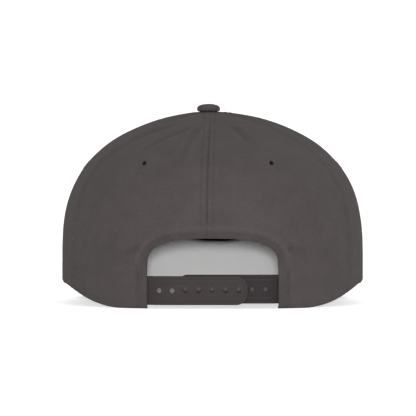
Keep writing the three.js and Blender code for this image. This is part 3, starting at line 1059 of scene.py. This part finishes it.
# %% Find the line of the closure
STRAP_FOOT = 2 * MM
STRAP_HEIGHT = 16.3 * MM
STRAP_MIDDLE = STRAP_FOOT + STRAP_HEIGHT / 2
STRAP_FLATTENING = 3.5 * MM
STRAP_END_ROUND = 6.5 * MM
SNAP_PITCH = 7.5 * MM
SNAPS = 7
FIRST_HOLE = 7.1 * MM - ARCH_HALF
FIRST_PEG = FIRST_HOLE + 2 * SNAP_PITCH
SNAP_MARGIN = 5.1 * MM
outer_end = FIRST_HOLE + (SNAPS - 1) * SNAP_PITCH + SNAP_MARGIN
inner_end = FIRST_PEG - SNAP_MARGIN


def closure_place(angle):
    place = plan_place(angle) - block_normal(angle, 0) * (PANEL_WALL + PIECE_GAP)
    flat = max(0, 1 - (angle / tab_angle) ** 2) ** 2
    place.y += STRAP_FLATTENING * flat
    place.z = 0
    return place + BLOCK_TO_CAP


closure_steps = 400
closure_line = [closure_place(mix(-tuck_angle - 1, tuck_angle + 1, step / closure_steps))
                for step in range(closure_steps + 1)]
closure_lengths = [0]
for start, end in zip(closure_line, closure_line[1:]):
    closure_lengths.append(closure_lengths[-1] + (end - start).length)
closure_half = closure_lengths[-1] / 2
tab_station = closure_half * tab_angle / (tuck_angle + 1)


def bend_place(distance, height, inset):
    """A place at a distance along the closure from its middle, at a height and a depth."""
    along = min(max(distance + closure_half, 0), closure_lengths[-1] - 1e-6)
    step = min(int(along / closure_lengths[-1] * closure_steps), closure_steps - 1)
    while closure_lengths[step] > along:
        step -= 1
    while closure_lengths[step + 1] < along:
        step += 1
    start, end = closure_line[step], closure_line[step + 1]
    share = (along - closure_lengths[step]) / (closure_lengths[step + 1] - closure_lengths[step])
    run = (end - start).normalized()
    outward = run.cross(Vector((0, 0, 1)))
    place = start.lerp(end, share) - outward * inset
    place.z = STRAP_MIDDLE + height
    return place


print("closure length, mm:", round(closure_lengths[-1] / MM, 1))

# %% Press a strap's face
STRAP_COLUMNS = 190
STRAP_ROWS = 61
PIERCED = 1.36 * MM
strap_holes = [FIRST_HOLE + snap * SNAP_PITCH for snap in range(SNAPS)]
strap_pegs = [FIRST_PEG + snap * SNAP_PITCH for snap in range(SNAPS)]


def edge_distance(x, z, tucked, rounded):
    """How far inside the strap's outline a place is. The outline is round at one end only."""
    side = math.copysign(1, rounded - tucked)
    corner_x = max(0, side * (x - (rounded - side * STRAP_END_ROUND)))
    corner_z = max(0, abs(z) - (STRAP_HEIGHT / 2 - STRAP_END_ROUND))
    to_side = STRAP_HEIGHT / 2 - abs(z)
    if corner_x > 0 and corner_z > 0:
        return STRAP_END_ROUND - math.hypot(corner_x, corner_z)
    return min(to_side, side * (rounded - x))


def strap_relief(x, z, tucked, rounded, rims):
    """How far a place on the strap's face lies below its highest point."""
    edge = edge_distance(x, z, tucked, rounded) / MM
    side = math.copysign(1, rounded - tucked)
    rolled = 0.3 * max(0, 1 - edge / 0.45) ** 2
    border = ease(edge, 1.1, 1.9)
    channel = 1 - ease(abs(z) / MM, 2.7, 3.3)
    from_tab = side * (x - math.copysign(tab_station, tucked)) / MM
    plain_end = 1 - ease(from_tab, 2.6, 3.4)
    sunk = 0.15 * border + 0.07 * channel * ease(edge, 2.2, 3)
    sunk += 0.1 * hump(edge, 1.9, 0.35) + 0.16 * hump(abs(z) / MM, 3.5, 0.35) * ease(edge, 2.2, 3)
    sunk = mix(sunk, 0.25, plain_end)
    for hole in rims:
        away = math.hypot(x - hole, z) / MM
        sunk -= 0.07 * math.exp(-((away - 2.05) / 0.3) ** 2)
    return (max(0, sunk) + rolled) * MM


def flat_strap(name, tucked, rounded, rims):
    """A strap as it lies in its mould: x runs along it, z across it, and y into its face."""
    side = math.copysign(1, rounded - tucked)
    bend = rounded - side * STRAP_END_ROUND
    straight = 160

    def strap_point(column, row):
        if side < 0:
            column = STRAP_COLUMNS - 1 - column
        turn = max(0, column - straight) / (STRAP_COLUMNS - 1 - straight) * math.pi / 2
        x = mix(tucked, bend, min(1, column / straight)) + side * STRAP_END_ROUND * math.sin(turn)
        half = STRAP_HEIGHT / 2 - STRAP_END_ROUND * (1 - math.cos(turn))
        share = 2 * row / (STRAP_ROWS - 1) - 1
        share = math.sin(share * math.pi / 2) * 0.35 + share * 0.65
        z = half * share
        return Vector((x, strap_relief(x, z, tucked, rounded, rims), z)), (x, z), 0

    strap = lay_cloth(name, STRAP_COLUMNS, STRAP_ROWS, strap_point)
    use_modifier(strap, "SOLIDIFY", thickness=STRAP_THICKNESS - 0.25 * MM, offset=-1)
    return strap


def bend_strap(strap, lane, rise=0.0):
    for point in strap.data.vertices:
        x, y, z = point.co
        point.co = bend_place(x, z + rise, y + lane(x))
    smooth(strap, 40)
    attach(strap, "root")


# %% Drill and bend the outer strap
outer_strap = flat_strap("outer_strap_plastic", -tab_station - STRAP_TUCK, outer_end, strap_holes)
drills = []
for hole in strap_holes:
    clear_selection()
    bpy.ops.mesh.primitive_cylinder_add(vertices=40, radius=PIERCED, depth=8 * MM,
                                        location=(hole, 0, 0), rotation=(math.pi / 2, 0, 0))
    drills.append(bpy.context.object)
drill = join(*drills)
settle(drill)
cut_with(outer_strap, drill)
bend_strap(outer_strap, lambda x: 0)
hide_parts("outer_strap")
print("outer strap faces:", len(outer_strap.data.polygons))


# %% Add the pegs and bend the inner strap
def inner_lane(x):
    return STRAP_LANE * (1 - ease(x, outer_end + PIECE_GAP, tab_station))


inner_strap = flat_strap("inner_strap_plastic", tab_station + STRAP_TUCK, inner_end, [])
INNER_RISE = 0.8 * MM
PEG_RADIUS = 1.24 * MM
PEG_HEIGHT = 1.8 * MM
PEG_ROOT = 0.3 * MM
FREE_PEG_SINK = 0.4 * MM
clear_selection()
bpy.ops.mesh.primitive_cylinder_add(vertices=32, radius=PEG_RADIUS, depth=PEG_HEIGHT,
                                    location=(0, PEG_ROOT - PEG_HEIGHT / 2, 0),
                                    rotation=(math.pi / 2, 0, 0))
peg = bpy.context.object
settle(peg)
use_modifier(peg, "BEVEL", width=0.3 * MM, segments=4, limit_method="ANGLE")
pegs = []
for x in strap_pegs:
    copy = peg.copy()
    copy.data = peg.data.copy()
    bpy.context.scene.collection.objects.link(copy)
    sink = 0 if x < outer_end else FREE_PEG_SINK
    for point in copy.data.vertices:
        point.co.x += x
        point.co.y += sink
    pegs.append(copy)
bpy.data.objects.remove(peg)
plate_faces = len(inner_strap.data.polygons)
join(inner_strap, *pegs)
bend_strap(inner_strap, inner_lane, INNER_RISE)
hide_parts("inner_strap")
print("pegs:", len(strap_pegs))

# %% [markdown]
# ## Topstitching
#
# Rows of small stitches run beside every seam, round the opening and across the visor. Painted
# lines would stay flat, so each stitch is a short, bent bead of thread with pointed ends. One is
# modelled with a few dozen faces and copied along each row, turned to lie along the cloth and
# varied a little, as a machine's stitches are.

# %% Make one stitch
STITCH_LENGTH = 2.3 * MM
STITCH_RADIUS = 0.2 * MM
STITCH_PITCH = 3.0 * MM
machine = random.Random(11)

clear_selection()
bpy.ops.mesh.primitive_cylinder_add(vertices=6, radius=STITCH_RADIUS, depth=STITCH_LENGTH * 0.72,
                                    rotation=(0, math.pi / 2, 0))
stitch = bpy.context.object
settle(stitch)
for end in (-1, 1):
    bpy.ops.object.mode_set(mode="EDIT")
    bpy.ops.mesh.select_mode(type="FACE")
    bpy.ops.mesh.select_all(action="DESELECT")
    bpy.ops.object.mode_set(mode="OBJECT")
    for face in stitch.data.polygons:
        face.select = face.normal.x * end > 0.9
    bpy.ops.object.mode_set(mode="EDIT")
    tip = (end * STITCH_LENGTH * 0.14, 0, -STITCH_RADIUS * 0.8)
    bpy.ops.mesh.extrude_region_move(TRANSFORM_OT_translate={"value": tip})
    bpy.ops.transform.resize(value=(1, 0.4, 0.4))
    bpy.ops.object.mode_set(mode="OBJECT")
smooth(stitch, 60)
print("faces in a stitch:", len(stitch.data.polygons))


# %% Sew a row of stitches
def sew(name, row):
    """Copies the stitch along a row of places and normals, given at close steps."""
    copies = []
    walked = 0
    due = STITCH_PITCH * 0.7
    for (place, normal), (ahead, _) in zip(row, row[1:]):
        run = ahead - place
        walked += run.length
        if walked < due:
            continue
        due += STITCH_PITCH
        run = run.normalized()
        side = normal.cross(run).normalized()
        up = run.cross(side)
        turn = Matrix((run, side, up)).transposed().to_4x4()
        spread = Matrix.Scale(1 + machine.uniform(-0.08, 0.08), 4)
        tilt = Matrix.Rotation(machine.uniform(-0.06, 0.06), 4, "Z")
        copy = stitch.copy()
        copy.data = stitch.data.copy()
        copy.matrix_world = Matrix.Translation(ahead + up * STITCH_RADIUS * 0.35) @ turn @ tilt @ spread
        bpy.context.scene.collection.objects.link(copy)
        copies.append(copy)
    thread = join(*copies)
    thread.name = name
    settle(thread)
    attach(thread, "root")
    return thread


def seam_row(seam, side):
    """The places of one row of stitches, beside a seam from the rim to the button."""
    angle = SEAM_ANGLES[seam]
    row = []
    for step in range(700):
        climb = mix(0.012, 0.93, step / 699)
        reach = (block_place(angle, climb) - BLOCK_TO_CAP).xy.length
        beside = angle + side * math.degrees(TOPSTITCH / max(reach, 6 * MM))
        if seam == "centre_back" and block_place(beside, climb).z < ARCH_HEIGHT + HEM_STITCH + 1.5 * MM:
            continue
        place = cloth_place(beside, climb, [seams[seam]], arch=seam == "centre_back")
        row.append((place, block_normal(beside, climb)))
    return row


threads = []
for seam in SEAM_ANGLES:
    for side in (-1, 1):
        label = "left" if side < 0 else "right"
        threads.append(sew(f"{seam}_topstitch_{label}", seam_row(seam, side)))
print("seam rows:", len(threads))

# %% Sew round the opening
hem_row = []
for x, z in arch_places(HEM_STITCH, steps=200)[1:-1]:
    spot = block_behind(x, z)
    if spot[1] < 0.02:
        continue
    hem_row.append((cloth_place(*spot, arch=True), block_normal(*spot)))
hem_row = [(place.lerp(after, part / 8), normal)
           for (place, normal), (after, _) in zip(hem_row, hem_row[1:]) for part in range(8)]
threads.append(sew("opening_topstitch", hem_row))

for side, low, high in ((-1, 4 * MM, 26 * MM), (1, 6 * MM, 22 * MM)):
    row = []
    for step in range(121):
        spot = block_behind(side * (ARCH_HALF + TAB_STITCH), mix(low, high, step / 120))
        row.append((cloth_place(*spot, arch=True), block_normal(*spot)))
    threads.append(sew("left_tab_stitch" if side < 0 else "right_tab_stitch", row))

# %% Sew the visor
VISOR_STITCH_ROWS = [5 * MM, 12 * MM, 19 * MM, 26 * MM]
for number, setback in enumerate(VISOR_STITCH_ROWS):
    for face in (1, -1):
        row = []
        for step in range(900):
            share = mix(-0.94, 0.94, step / 899)
            depth = (visor_flat(share, 1) - visor_flat(share, 0)).length
            if setback > depth - 4 * MM:
                continue
            height = face * (VISOR_THICKNESS / 2 - 0.1 * MM)
            row.append((visor_place(share, 1 - setback / depth, height), Vector((0, 0, face))))
        label = "top" if face > 0 else "underside"
        threads.append(sew(f"visor_stitch_row_{number + 1}_{label}", row))
bpy.data.objects.remove(stitch)
print("rows of stitches:", len(threads))

# %% [markdown]
# ## Materials
#
# Seven materials cover the cap: the crown's dark cloth, its thread, the pale cloth of the
# sweatband, the plastic of the outer strap, the same plastic made darker for the inner one as
# painted shade, the same plastic made paler for its pegs as a painted highlight on their domes,
# and the bare metal under the button. A flat colour would look like paint, so
# each gets its grain from the way that it is made. The two cloths share one group of nodes that
# draws a twill from the weave map, with slubs where a yarn is thicker and a slow mottling from
# dyeing and wear. The crown's cloth also gets painted shade where sewing or a crease sinks it,
# and painted light on the ridges beside.

# %% Draw the noise
def noise_at(tree, place, scale, detail=2.0):
    """Noise round 0 at a place, with features of a scale in metres."""
    node = add_node(tree, "TexNoise", place)
    node.inputs["Scale"].default_value = 1 / scale
    node.inputs["Detail"].default_value = detail
    return calculate(tree, "SUBTRACT", node.outputs[0], 0.5)


def new_group(name, inputs, outputs):
    tree = bpy.data.node_groups.new(name, "ShaderNodeTree")
    for title, default in inputs.items():
        socket = tree.interface.new_socket(title, in_out="INPUT", socket_type="NodeSocketFloat")
        socket.default_value = default
    for title in outputs:
        tree.interface.new_socket(title, in_out="OUTPUT", socket_type="NodeSocketFloat")
    return tree, tree.nodes.new("NodeGroupInput").outputs, tree.nodes.new("NodeGroupOutput").inputs


# %% Draw the twill
tree, given, result = new_group("twill_weave", {"Yarns per metre": 1600.0, "Mottling": 1.0},
                                ["Height", "Shade"])
weave_map = add_node(tree, "UVMap", uv_map="weave").outputs[0]
object_place = add_node(tree, "TexCoord").outputs["Object"]
apart = add_node(tree, "SeparateXYZ", weave_map)
along = calculate(tree, "MULTIPLY", apart.outputs[0], given[0])
across = calculate(tree, "MULTIPLY", apart.outputs[1], given[0])
diagonal = calculate(tree, "MULTIPLY", calculate(tree, "ADD", along, across), math.pi)
ribs = calculate(tree, "ABSOLUTE", calculate(tree, "SINE", diagonal))
crossing = calculate(tree, "MULTIPLY", across, math.pi)
yarns = calculate(tree, "ABSOLUTE", calculate(tree, "SINE", crossing))
twill = calculate(tree, "MULTIPLY_ADD", yarns, 0.35, calculate(tree, "MULTIPLY", ribs, 0.65))
stretched = add_node(tree, "VectorMath", weave_map, (420, 2600, 1), operation="MULTIPLY").outputs[0]
slub = add_node(tree, "TexNoise", stretched)
slub.inputs["Scale"].default_value = 1
slubs = calculate(tree, "SUBTRACT", slub.outputs[0], 0.5)
grain = noise_at(tree, object_place, 1.3 * MM, 3)
wear = noise_at(tree, object_place, 9 * MM, 3)
broad = noise_at(tree, object_place, 38 * MM)
height = calculate(tree, "MULTIPLY_ADD", slubs, 0.8, twill)
height = calculate(tree, "MULTIPLY_ADD", grain, 1.6, height)
mottling = calculate(tree, "MULTIPLY_ADD", wear, 0.35, calculate(tree, "MULTIPLY", grain, 0.45))
mottling = calculate(tree, "MULTIPLY_ADD", broad, 0.3, mottling)
mottling = calculate(tree, "MULTIPLY", mottling, given[1])
shade = calculate(tree, "MULTIPLY_ADD", twill, 0.4, calculate(tree, "MULTIPLY", slubs, 0.5))
shade = calculate(tree, "ADD", calculate(tree, "ADD", shade, 0.26), mottling)
# Painted shade and light: the sewing and crease relief darkens the colour in valleys and lightens it on
# ridges.
relief = add_node(tree, "Attribute", attribute_name="relief").outputs["Fac"]
shade = calculate(tree, "MULTIPLY_ADD", relief, 0.22, shade)
tree.links.new(height, result[0])
tree.links.new(shade, result[1])
twill_weave = tree


def new_material(name, roughness):
    material = bpy.data.materials.new(name)
    material.use_nodes = True
    shader = material.node_tree.nodes["Principled BSDF"]
    shader.inputs["Roughness"].default_value = roughness
    return material, material.node_tree, shader.inputs


def colour_between(tree, shade, dark, light):
    mixed = add_node(tree, "Mix", data_type="RGBA")
    tree.links.new(shade, mixed.inputs[0])
    mixed.inputs[6].default_value = (*dark, 1)
    mixed.inputs[7].default_value = (*light, 1)
    return mixed.outputs[2]


def bump(tree, height, distance, strength=1.0):
    node = add_node(tree, "Bump")
    node.inputs["Strength"].default_value = strength
    node.inputs["Distance"].default_value = distance
    tree.links.new(height, node.inputs["Height"])
    return node.outputs[0]


def weave_cloth(name, colour, contrast, yarns, mottling, roughness=0.95, sheen=0.0):
    material, tree, shader = new_material(name, roughness)
    weave = add_node(tree, "Group", node_tree=twill_weave)
    weave.inputs["Yarns per metre"].default_value = yarns
    weave.inputs["Mottling"].default_value = mottling
    dark = [value * (1 - contrast) for value in colour]
    light = [value * (1 + contrast) for value in colour]
    tree.links.new(colour_between(tree, weave.outputs["Shade"], dark, light), shader["Base Color"])
    tree.links.new(bump(tree, weave.outputs["Height"], 0.09 * MM), shader["Normal"])
    shader["Specular IOR Level"].default_value = 0.12
    shader["Sheen Weight"].default_value = sheen
    shader["Sheen Roughness"].default_value = 0.6
    return material


CLOTH_COLOUR = (0.076, 0.0646, 0.0644)
BAND_COLOUR = (0.78, 0.773, 0.77)
crown_cloth = weave_cloth("crown_cloth", CLOTH_COLOUR, 0.34, 1600, 1.0, sheen=0.04)
band_cloth = weave_cloth("band_cloth", BAND_COLOUR, 0.1, 2000, 0.5)
print("nodes in the weave:", len(twill_weave.nodes))

# %% Mix the thread, the plastic and the metal
METAL_DARK = (0.42, 0.41, 0.4)
METAL_LIGHT = (0.6, 0.59, 0.57)
THREAD_COLOUR = (0.0785, 0.0665, 0.0662)
PLASTIC_COLOUR = (0.042, 0.0338, 0.0346)
# Painted shade: the inner strap's plastic is the outer one's made darker, for the shade it lies in
# behind the outer strap.
INNER_PLASTIC_PAINTED_SHADE = (0.0285, 0.0233, 0.0243)
# Painted light: the pegs' plastic is made paler, for the light that their domes catch.
PEG_PAINTED_LIGHT_COLOUR = (0.066, 0.0535, 0.0545)

thread, tree, shader = new_material("thread", 0.75)
object_place = add_node(tree, "TexCoord").outputs["Object"]
strands = noise_at(tree, object_place, 0.5 * MM, 2)
shade = calculate(tree, "MULTIPLY_ADD", strands, 1.2, 0.5)
dark = [value * 0.75 for value in THREAD_COLOUR]
light = [value * 1.25 for value in THREAD_COLOUR]
tree.links.new(colour_between(tree, shade, dark, light), shader["Base Color"])
tree.links.new(bump(tree, strands, 0.1 * MM), shader["Normal"])
shader["Specular IOR Level"].default_value = 0.2


def moulded_plastic(name, colour):
    material, tree, shader = new_material(name, 0.5)
    object_place = add_node(tree, "TexCoord").outputs["Object"]
    grain = noise_at(tree, object_place, 0.45 * MM, 2)
    flow = noise_at(tree, object_place, 7 * MM, 3)
    shade = calculate(tree, "MULTIPLY_ADD", flow, 0.9, calculate(tree, "MULTIPLY_ADD", grain, 0.5, 0.5))
    dark = [value * 0.86 for value in colour]
    light = [value * 1.14 for value in colour]
    tree.links.new(colour_between(tree, shade, dark, light), shader["Base Color"])
    tree.links.new(calculate(tree, "MULTIPLY_ADD", flow, 0.3, 0.56), shader["Roughness"])
    tree.links.new(bump(tree, calculate(tree, "ADD", grain, flow), 0.05 * MM), shader["Normal"])
    shader["Specular IOR Level"].default_value = 0.12
    return material


outer_plastic = moulded_plastic("outer_strap_plastic", PLASTIC_COLOUR)
# Painted shade: the inner strap gets a darker copy of the outer strap's plastic.
inner_plastic_painted_shade = moulded_plastic("inner_strap_plastic", INNER_PLASTIC_PAINTED_SHADE)
# Painted highlight: the pegs get a paler copy of the plastic, for the light on their domes.
peg_plastic_painted_light = moulded_plastic("painted_light_peg_plastic", PEG_PAINTED_LIGHT_COLOUR)

button_metal, tree, shader = new_material("button_metal", 0.35)
object_place = add_node(tree, "TexCoord").outputs["Object"]
scuffs = noise_at(tree, object_place, 1.2 * MM, 4)
tree.links.new(calculate(tree, "MULTIPLY_ADD", scuffs, 0.5, 0.36), shader["Roughness"])
shade = calculate(tree, "ADD", scuffs, 0.5)
tree.links.new(colour_between(tree, shade, METAL_DARK, METAL_LIGHT), shader["Base Color"])
shader["Metallic"].default_value = 1.0

# %% Paint the floor white
floor_paint, tree, shader = new_material("floor_paint", 0.9)
object_place = add_node(tree, "TexCoord").outputs["Object"]
unevenness = calculate(tree, "ADD", noise_at(tree, object_place, 0.4, 3), 0.5)
paint = colour_between(tree, unevenness, (0.8, 0.8, 0.8), (0.85, 0.85, 0.85))
tree.links.new(paint, shader["Base Color"])
shader["Specular IOR Level"].default_value = 0.0
shader["Emission Color"].default_value = (1, 1, 1, 1)
seen = add_node(tree, "LightPath").outputs["Is Camera Ray"]
glow = calculate(tree, "MULTIPLY_ADD", seen, FLOOR_GLOW_TO_CAMERA - FLOOR_GLOW, FLOOR_GLOW)
tree.links.new(glow, shader["Emission Strength"])


def dress(piece, material):
    piece.data.materials.clear()
    piece.data.materials.append(material)


def dress_rest(piece, material, first_face):
    """Gives the faces from the first one on, which were joined to the piece, a finish of their own."""
    piece.data.materials.append(material)
    for face in piece.data.polygons[first_face:]:
        face.material_index = 1


dress(floor, floor_paint)
for panel in panels.values():
    dress(panel, crown_cloth)
dress(visor, crown_cloth)
dress(sweatband, band_cloth)
dress(outer_strap, outer_plastic)
dress(inner_strap, inner_plastic_painted_shade)
dress_rest(inner_strap, peg_plastic_painted_light, plate_faces)
for sewn in eyelets + threads:
    dress(sewn, thread)
dress(button, crown_cloth)
dress_rest(button, button_metal, button_cloth_faces)
print("materials:", len(bpy.data.materials))
